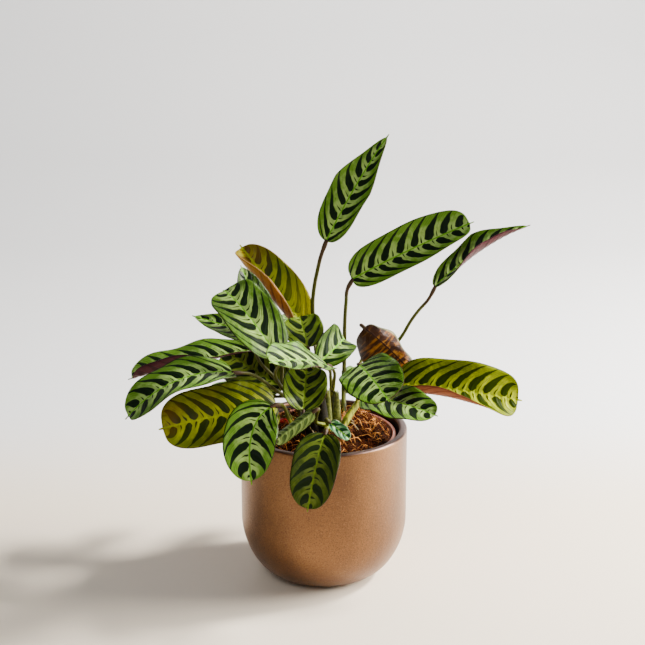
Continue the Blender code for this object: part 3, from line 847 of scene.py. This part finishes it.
def leaf_colours(form, under):
    """Ground, lighter ground, bands and midrib of one side of a leaf."""
    traits = form["traits"]
    ground, pale, dark, rib, under_light, under_dark = LOOKS[form["colour"]]
    if under and "streaked" in traits:
        return *MAROON_BROWN, MAROON_BROWN[-1]
    if under:
        if "rust_under" in traits:
            under_light, under_dark = RUST
        if "pale_under" in traits:
            under_light, under_dark = PALE
        return under_light, under_light, under_dark, under_light
    if "young" in traits:
        ground, pale, dark = YOUNG_LOOK
    # Each leaf's light factor lightens or darkens its grounds: painted light and shade for how it
    # is lit
    ground = tuple(min(GROUND_MOST, form["light"] * value) for value in ground)
    pale = tuple(min(PALE_MOST, math.sqrt(form["light"]) * value) for value in pale)
    return ground, pale, dark, rib


def vein_place(form, u, v, across, wobble):
    """Counts the side veins towards the tip, each swept forward on its way to the edge."""
    bands = float(bands_of(form))
    right_half = u.math("GREATER_THAN", 0.5)
    swept_by = across * SWEEP_NEAR + (across ** SWEEP_POWER) * SWEEP_FAR
    swept_by = swept_by * ((v ** 3.0) * -TIP_FADE + 1.0) * float(slimness(form))
    place = v - swept_by + right_half * (SIDE_SHIFT / bands)
    return place * bands + (wobble - 0.5) * 0.5


def band_share(place, v, across, uneven):
    """A long dark crescent on every side vein and a short one between, from 0 to 1.

    The long one swells out of the midrib, thins towards the edge and ends before the tip.
    The short one stays near the midrib. Both have an uneven outline.
    """
    off = (place.math("FRACT") - 0.5).math("ABSOLUTE") * 2.0
    rise = across.step(-0.02, 0.16)
    fall = across.step(1.08, 0.4)
    width = (rise * 0.47 + 0.08) * (fall * 0.82 + 0.18) + (uneven - 0.5) * 0.3
    width = width - v.step(0.86, 0.99) * 0.3
    long_band = off.step(width + 0.05, width - 0.07)
    short = across.step(0.02, 0.08) * across.step(0.38, 0.14) * 0.1 + (uneven - 0.5) * 0.16
    short_band = off.flipped().step(short + 0.03, short - 0.05)
    return long_band.math("MAXIMUM", short_band)


def leaf_material(form, seed, under):
    """Dark bands along the side veins on a light ground, a midrib and a thin edge."""
    traits = form["traits"]
    ground, pale, dark, rib = leaf_colours(form, under)
    shine = MATT_SHINE if "matt" in traits else LEAF_SHINE
    name = form["name"] + ("_under" if under else "_upper")
    material, tree, shader = new_material(name, 0.42, shine=shine)
    _, u, v = uv_terms(tree, "blade")
    size_vector, wide, _ = uv_terms(tree, "size")
    across = (u * 2.0 - 1.0).math("ABSOLUTE")
    wobble = noise_term(size_vector, 7.0, seed=seed)
    uneven = noise_term(size_vector, 16.0, seed=seed + 40)
    place = vein_place(form, u, v, across, wobble)
    if under and "streaked" in traits:
        streak = noise_term(size_vector, 30.0, stretch=(0.18, 1, 1), seed=seed + 60)
        band = (streak.step(0.62, 0.44) + v.step(0.3, 0.1) * 0.8).math("MINIMUM", 0.95)
    else:
        band = band_share(place, v, across, uneven)
    fine_veins = (place * 5.0 * math.tau).math("SINE") * 0.5 + 0.5
    near_rib = across.step(0.9, 0.2) * 0.3
    # Streaks of the lighter ground along the fine veins and the midrib: partly the leaf's own
    # light green, partly painted highlight for gloss on its ribs
    gleam = (uneven * 0.7 + near_rib).step(0.34, 0.74) * 0.85 + fine_veins * 0.1
    base = mixed(gleam, ground, pale)
    if "sunlit" in traits and not under:
        bright = v.step(0.62, 0.12) * u.step(0.35, 0.75)
        base = mixed(bright * 0.85, base, SUNLIT_UPPER)
        band = band * (bright * -0.6 + 1.0)
    base = mixed(band, base, dark)
    if "streaked" in traits:
        # Pale strip along one edge: painted highlight of the margin turning over
        base = mixed(u.step(0.9, 0.96) * 0.6, base, PALE_HIGHLIGHT_STRIP)
    if "sunlit" in traits and under:
        base = mixed(v.step(0.35, 0.85) * 0.7, base, SUNLIT_UNDER)
    if "tanned" in traits and not under:
        tan = noise_term(size_vector, 2.2, seed=seed + 80)
        base = mixed(v.step(0.35, 0.95) * tan.step(0.35, 0.62) * 0.55, base, TAN)
    edge = across.step(0.955, 0.985)
    base = mixed(edge * 0.85, base, form["edge"] or dark)
    from_middle = wide.math("ABSOLUTE") * (1 / MAP_SCALE)
    base = mixed(from_middle.step(0.95, 0.45), base, rib)
    set_input(shader, "Base Color", base)
    gloss = uneven * 0.16 + 0.26 + band * 0.06
    set_input(shader, "Roughness", gloss)
    set_bump(shader, fine_veins + uneven * 0.6, 0.00012)
    return material


def make_shoot_piece(name, index):
    """The stem and its petioles as one piece of tubes, each with ribs along it."""
    _, _, foot_radius, top_radius, look = SHOOTS[name]
    radii = np.linspace(foot_radius, top_radius, STEM_STEPS)
    runs = [(through(stem_points(name), STEM_STEPS), radii, STEM_RIBS)]
    for form in LEAVES:
        if form["shoot"] == name:
            points = through(petiole_points(form), PETIOLE_STEPS)
            runs.append((points, PLUMP * petiole_radii(points, form["stalk"]), PETIOLE_RIBS))
    vertices, faces, values = mesh = [], [], []
    for number, (points, radii, ribs) in enumerate(runs):
        part = PETIOLE_PART if number else STEM_PART
        add_tube(mesh, points, radii, TUBE_SIDES, ribs, index + RIB_TURN * number, part)
    new_piece(name + "_stems", vertices, faces, look, [stem_material(name, look, index)], name,
              maps=(("tube", values),))


def stem_material(name, look, seed):
    """Lengthwise streaks, browner patches, and a dark swelling under each blade."""
    material, tree, shader = new_material(name + "_skin", 0.5, shine=STEM_SHINE)
    _, _, along = uv_terms(tree, "tube")
    where = object_place(tree)
    streak = noise_term(where, 420.0, stretch=(1, 1, 0.04), seed=seed)
    patch = noise_term(where, 28.0, stretch=(1, 1, 0.5), seed=seed + 9)
    petiole = along.step(STEM_PART[1] + 0.01, PETIOLE_PART[0] + 0.01)
    rise = (along - PETIOLE_PART[0]) * (1 / PETIOLE_PART[1])
    light, dark = STREAKS[look]
    base = mixed(streak.step(0.42, 0.58), dark, light)
    base = mixed(patch.step(0.45, 0.75) * 0.6, base, STEM_PATCH)
    upper = mixed(streak, *PETIOLE_STREAKS)
    base = mixed(petiole * rise.step(0.0, 0.55), base, upper)
    swollen = mixed(streak, *SWOLLEN_STREAKS)
    base = mixed(petiole * rise.step(0.8, 0.9), base, swollen)
    set_input(shader, "Base Color", base)
    set_bump(shader, streak, 0.0003)
    return material


# Pot, nursery pot and soil
def copper_material():
    """Cloudy copper paint with fine pores and glints, worn grey on top of the lip."""
    material, tree, shader = new_material("copper_paint", 0.42, 0.9)
    set_input(shader, "Coat Weight", 0.4)
    set_input(shader, "Coat Roughness", 0.34)
    where = object_place(tree)
    grain = noise_term(where, 900.0, 3.0)
    speck = noise_term(where, 330.0, 4.0, seed=3)
    smudge = noise_term(where, 26.0, 4.0, (1, 1, 0.45), seed=7)
    cloud = noise_term(where, 9.0, 2.0, (1, 1, 0.7), seed=12)
    base = mixed(cloud.step(0.3, 0.7), *COPPER)
    base = mixed(smudge.step(0.44, 0.74) * 0.65, base, COPPER_SMUDGE)
    base = mixed(grain.step(0.48, 0.7) * 0.6, base, COPPER_PORE)
    base = mixed(grain.step(0.44, 0.3) * 0.16, base, COPPER_GLINT)
    x, y, z = parts_of(where)
    radius = (x * x + y * y).math("SQRT")
    inner = POT_RADIUS - POT_WALL
    on_top = z.step((POT_HEIGHT - 1.2) * MM, (POT_HEIGHT - 0.4) * MM)
    lip = on_top * radius.step((inner - 0.5) * MM, (inner + 1.0) * MM)
    base = mixed(lip * 0.9, base, COPPER_LIP)
    set_input(shader, "Base Color", base)
    gloss = grain * 0.22 + 0.3 + smudge * 0.1
    set_input(shader, "Roughness", gloss)
    set_bump(shader, grain * 0.5 + speck, 0.00022)
    return material


def shaded_inside_material():
    # The pot's inner wall and floor, coloured near black: painted shade inside the pot
    material, tree, shader = new_material("copper_inside_shade", 0.6)
    grain = noise_term(object_place(tree), 300.0, 3.0)
    set_input(shader, "Base Color", mixed(grain, *COPPER_INSIDE_SHADE))
    return material


def make_pot_piece():
    inner = POT_RADIUS - POT_WALL
    inner_centre = (inner + INNER_LIP, POT_HEIGHT - INNER_LIP)
    outer_centre = (POT_RADIUS - OUTER_LIP, POT_HEIGHT - OUTER_LIP)
    lip = [*arc(inner_centre, INNER_LIP, 180, 90, LIP_POINTS),
           *arc(outer_centre, OUTER_LIP, 90, 0, LIP_POINTS)]
    inside = bend(POT_FLOOR_RADIUS, inner, POT_WALL, POT_BEND_HEIGHT)
    outside = bend(POT_FOOT_RADIUS, POT_RADIUS, 0.0, POT_BEND_HEIGHT)
    profile = [(0, POT_WALL), *inside, *lip, *reversed(outside), (0, 0)]
    materials = [copper_material(), shaded_inside_material()]
    turned_piece("copper_pot", profile[::-1], "copper", materials, "pot",
                 inside=len(inside) + 1)


def make_nursery_piece():
    material, tree, shader = new_material("nursery_plastic", 0.5)
    where = object_place(tree)
    dust = noise_term(where, 60.0, 4.0)
    set_input(shader, "Base Color", mixed(dust.step(0.4, 0.75) * 0.6, *NURSERY_PINK))
    set_bump(shader, dust, 0.0002)
    floor = POT_WALL + GAP
    band = NURSERY_TOP - NURSERY_RIM_BAND
    inner_floor = floor + NURSERY_WALL
    inner_top = nursery_radius(NURSERY_TOP) - NURSERY_WALL
    profile = [
        (0, inner_floor),
        (nursery_radius(inner_floor) - NURSERY_WALL, inner_floor),
        (inner_top, NURSERY_TOP - NURSERY_EASE),
        (inner_top + NURSERY_EASE, NURSERY_TOP),
        (NURSERY_RIM_RADIUS - NURSERY_ROUND, NURSERY_TOP),
        (NURSERY_RIM_RADIUS, NURSERY_TOP - NURSERY_ROUND),
        (NURSERY_RIM_RADIUS, band + NURSERY_EASE),
        (NURSERY_RIM_RADIUS - NURSERY_EASE, band),
        (nursery_radius(band), band),
        (NURSERY_FOOT_RADIUS, floor),
        (0, floor),
    ]
    turned_piece("inner_pot", profile[::-1], "nursery_plastic", [material], "nursery_pot")


def soil_bumps(x, y):
    """The height of the soil's rough surface, on average a little below the solid's."""
    spot = Vector((x, y, 0.0))
    lumps = LUMP_HEIGHT * noise.fractal(spot * LUMP_SCALE, 0.8, 2.0, 4)
    return soil_height(x, y) - SOIL_SINK + lumps + CRUMB_HEIGHT * noise.noise(spot * CRUMB_SCALE)


def make_soil_piece():
    material, tree, shader = new_material("coir_soil", 0.95, shine=SOIL_SHINE)
    where = object_place(tree)
    crumb = noise_term(where, 420.0, 6.0)
    patch = noise_term(where, 70.0, 3.0, seed=5)
    base = mixed(crumb.step(0.44, 0.66), *SOIL_BROWN)
    base = mixed(patch.step(0.5, 0.7) * 0.5, base, SOIL_PATCH)
    set_input(shader, "Base Color", base)
    set_bump(shader, crumb, 0.0012)
    floor = POT_WALL + NURSERY_WALL + 2 * GAP
    inset = NURSERY_WALL + GAP
    rim = nursery_radius(SOIL_TOP) - inset
    rings = [(rim * ring / SOIL_STEPS, SOIL_TOP) for ring in range(SOIL_STEPS + 1)]
    profile = [*rings, (nursery_radius(floor) - inset, floor), (0, floor)]

    def lift(points):
        for point in points:
            if point[2] > floor + 1:
                point[2] = soil_bumps(point[0], point[1])
        return points

    turned_piece("coir_filling", profile[::-1], "coir", [material], "soil", lift=lift)


def fibre_points(rng, limit):
    """One fibre's points, wandering over the soil and stopping at the nursery pot."""
    radius = limit * math.sqrt(rng.random())
    angle = rng.uniform(0, math.tau)
    x, y = radius * math.cos(angle), radius * math.sin(angle)
    heading = rng.uniform(0, math.tau)
    turn = rng.uniform(-FIBRE_TURN, FIBRE_TURN)
    step = rng.uniform(*FIBRE_STEP)
    lift = rng.uniform(0.0, 1.0) ** 3 * FIBRE_LIFT
    points = []
    for k in range(FIBRE_POINTS):
        if math.hypot(x, y) > limit:
            break
        bow = lift * math.sin(math.pi * k / (FIBRE_POINTS - 1)) + FIBRE_CLEAR
        points.append((x, y, soil_bumps(x, y) + bow))
        x += step * math.cos(heading)
        y += step * math.sin(heading)
        heading += turn + rng.uniform(-FIBRE_WANDER, FIBRE_WANDER)
    return points, lift


def make_fibres():
    """Loose coir fibres over the soil, of random tone, painted lighter the higher they stand up
    as light they catch; the brightest are partly painted highlight.
    """
    rng = random.Random(FIBRE_SEED)
    material, tree, shader = new_material("coir_fibre", 0.85, shine=FIBRE_SHINE)
    _, light, _ = uv_terms(tree, "fibre")
    base = mixed(light.step(0.12, 0.8), *FIBRE_BROWN)
    set_input(shader, "Base Color", mixed(light.step(0.84, 1.0), base, FIBRE_BRIGHT))
    limit = nursery_radius(SOIL_TOP) - NURSERY_WALL - GAP - 1.0
    vertices, faces, values = mesh = [], [], []
    for _ in range(FIBRES):
        points, lift = fibre_points(rng, limit)
        if len(points) < FIBRE_LEAST:
            continue
        thick = rng.uniform(*FIBRE_RADIUS)
        radii = thick * np.sin(np.linspace(FIBRE_END, math.pi - FIBRE_END, len(points)))
        # Random tone, raised with the fibre's lift: painted light on fibres that stand up out of
        # the soil's shade
        shade = min(1.0, 0.95 * rng.random() + 0.05 * lift)
        add_tube(mesh, points, radii, 3, shade=shade)
    new_piece("coir_fibres", vertices, faces, "coir", [material], maps=(("fibre", values),))


def tint_material(name, first, second, roughness=0.6):
    """A finely mottled mix of two colours."""
    material, tree, shader = new_material(name, roughness, shine=LITTER_SHINE)
    grain = noise_term(object_place(tree), 500.0, 3.0)
    set_input(shader, "Base Color", mixed(grain.step(0.4, 0.65), first, second))
    set_bump(shader, grain, 0.0003)
    return material


def make_scrap():
    """The red scrap on the soil, a small bulging sheet."""
    x, y, above = SCRAP_PLACE
    half_x, half_y = SCRAP_HALF
    points = []
    for row in range(SCRAP_SIDE):
        for column in range(SCRAP_SIDE):
            u, v = (2 * place / (SCRAP_SIDE - 1) - 1 for place in (row, column))
            bulge = SCRAP_BULGE * (1 - 0.45 * (u * u + v * v)) + 0.6 * math.sin(4 * u + 3 * v)
            points.append((x + half_x * u, y + half_y * v, SOIL_TOP + above + bulge))
    faces = sheet_faces(0, SCRAP_SIDE, flipped=True)
    red = tint_material("red_scrap", (0.62, 0.015, 0.006), (0.3, 0.006, 0.004), 0.45)
    scrap = new_piece("red_scrap", points, faces, "coir", [red])
    add_thickness(scrap, SCRAP_THICKNESS, -1)


def make_stalk_and_threads():
    stalk = tint_material("cut_stalk", (0.42, 0.46, 0.08), (0.2, 0.26, 0.04))
    vertices, faces, _ = mesh = [], [], []
    radii = np.linspace(*CUT_STALK_RADII, CUT_STALK_STEPS)
    add_tube(mesh, through(CUT_STALK, CUT_STALK_STEPS), radii, 12)
    new_piece("cut_stalk", vertices, faces, GREEN_STEM, [stalk])
    straw = tint_material("dry_thread", (0.62, 0.48, 0.26), (0.36, 0.24, 0.11))
    vertices, faces, _ = mesh = [], [], []
    for path in DRY_THREADS:
        radii = np.full(THREAD_STEPS, THREAD_RADIUS)
        add_tube(mesh, through(path, THREAD_STEPS), radii, 6)
    new_piece("dry_threads", vertices, faces, "coir", [straw])


def make_sheaths(name, first, second, roughness, slot, places):
    """Leaf bases that stand among the feet of the shoots, each a sheet bent round; the near-black
    ones are painted shade among the stems.
    """
    points, faces = [], []
    for x, y, height, radius, turn in places:
        faces += sheet_faces(len(points), SHEATH_SIDE)
        ground = soil_height(x, y) - SHEATH_DEPTH
        for row in range(SHEATH_SIDE):
            share = row / (SHEATH_SIDE - 1)
            reach = radius * (1 - 0.6 * share ** 1.6)
            for column in range(SHEATH_SIDE):
                aside = 2 * column / (SHEATH_SIDE - 1) - 1
                angle = turn - math.pi / 2 + SHEATH_OPENING * aside
                points.append((x + reach * math.cos(angle) + 2.5 * share * turn,
                               y + reach * math.sin(angle) + 2 * share,
                               ground + height * share + 0.8 * math.sin(5 * angle + x)))
    look = tint_material(name, first, second, roughness)
    add_thickness(new_piece(name + "s", points, faces, slot, [look]), SHEATH_THICKNESS, 0)


# Floor, light and camera
def make_stage():
    """A floor that turns up into a wall behind the pot."""
    mesh = bpy.data.meshes.new("floor")
    points = [(x, y, z) for y, z in FLOOR_PROFILE for x in (-FLOOR_HALF_WIDTH, FLOOR_HALF_WIDTH)]
    strips = range(len(FLOOR_PROFILE) - 1)
    faces = [(2 * i, 2 * i + 1, 2 * i + 3, 2 * i + 2) for i in strips]
    mesh.from_pydata(points, [], faces)
    mesh.shade_smooth()
    floor = add_object("floor", mesh)
    material, tree, shader = new_material("floor_paint", 0.7)
    _, y, _ = parts_of(object_place(tree))
    set_input(shader, "Base Color", mixed(y.step(*FLOOR_CHANGE), FLOOR_NEAR, FLOOR_FAR))
    mesh.materials.append(material)


def make_lights():
    world = bpy.context.scene.world or bpy.data.worlds.new("studio")
    bpy.context.scene.world = world
    world.use_nodes = True
    background = world.node_tree.nodes["Background"]
    set_input(background, "Color", SKY)
    set_input(background, "Strength", SKY_STRENGTH)
    for name, (place, target, size, power, colour) in LIGHTS.items():
        data = bpy.data.lights.new(name, "AREA")
        data.shape = "DISK"
        data.size = size
        data.energy = power
        data.color = colour
        lamp = add_object(name, data)
        lamp.location = place
        towards = Vector(target) - Vector(place)
        lamp.rotation_euler = towards.to_track_quat("-Z", "Y").to_euler()


def make_camera():
    data = bpy.data.cameras.new("camera")
    data.lens = CAMERA_LENS
    data.sensor_width = CAMERA_SENSOR
    camera = add_object("camera", data)
    camera.location = CAMERA_PLACE
    camera.rotation_euler = (math.radians(90 - CAMERA_DOWN), 0, 0)
    bpy.context.scene.camera = camera


make_camera()
make_lights()
make_stage()
make_pot_piece()
make_nursery_piece()
make_soil_piece()
make_fibres()
make_scrap()
make_stalk_and_threads()
for name, traits in SHEATHS.items():
    make_sheaths(name, *traits)
for index, name in enumerate(SHOOTS):
    make_shoot_piece(name, index)
for index, form in enumerate(LEAVES):
    make_blade_piece(form, index)
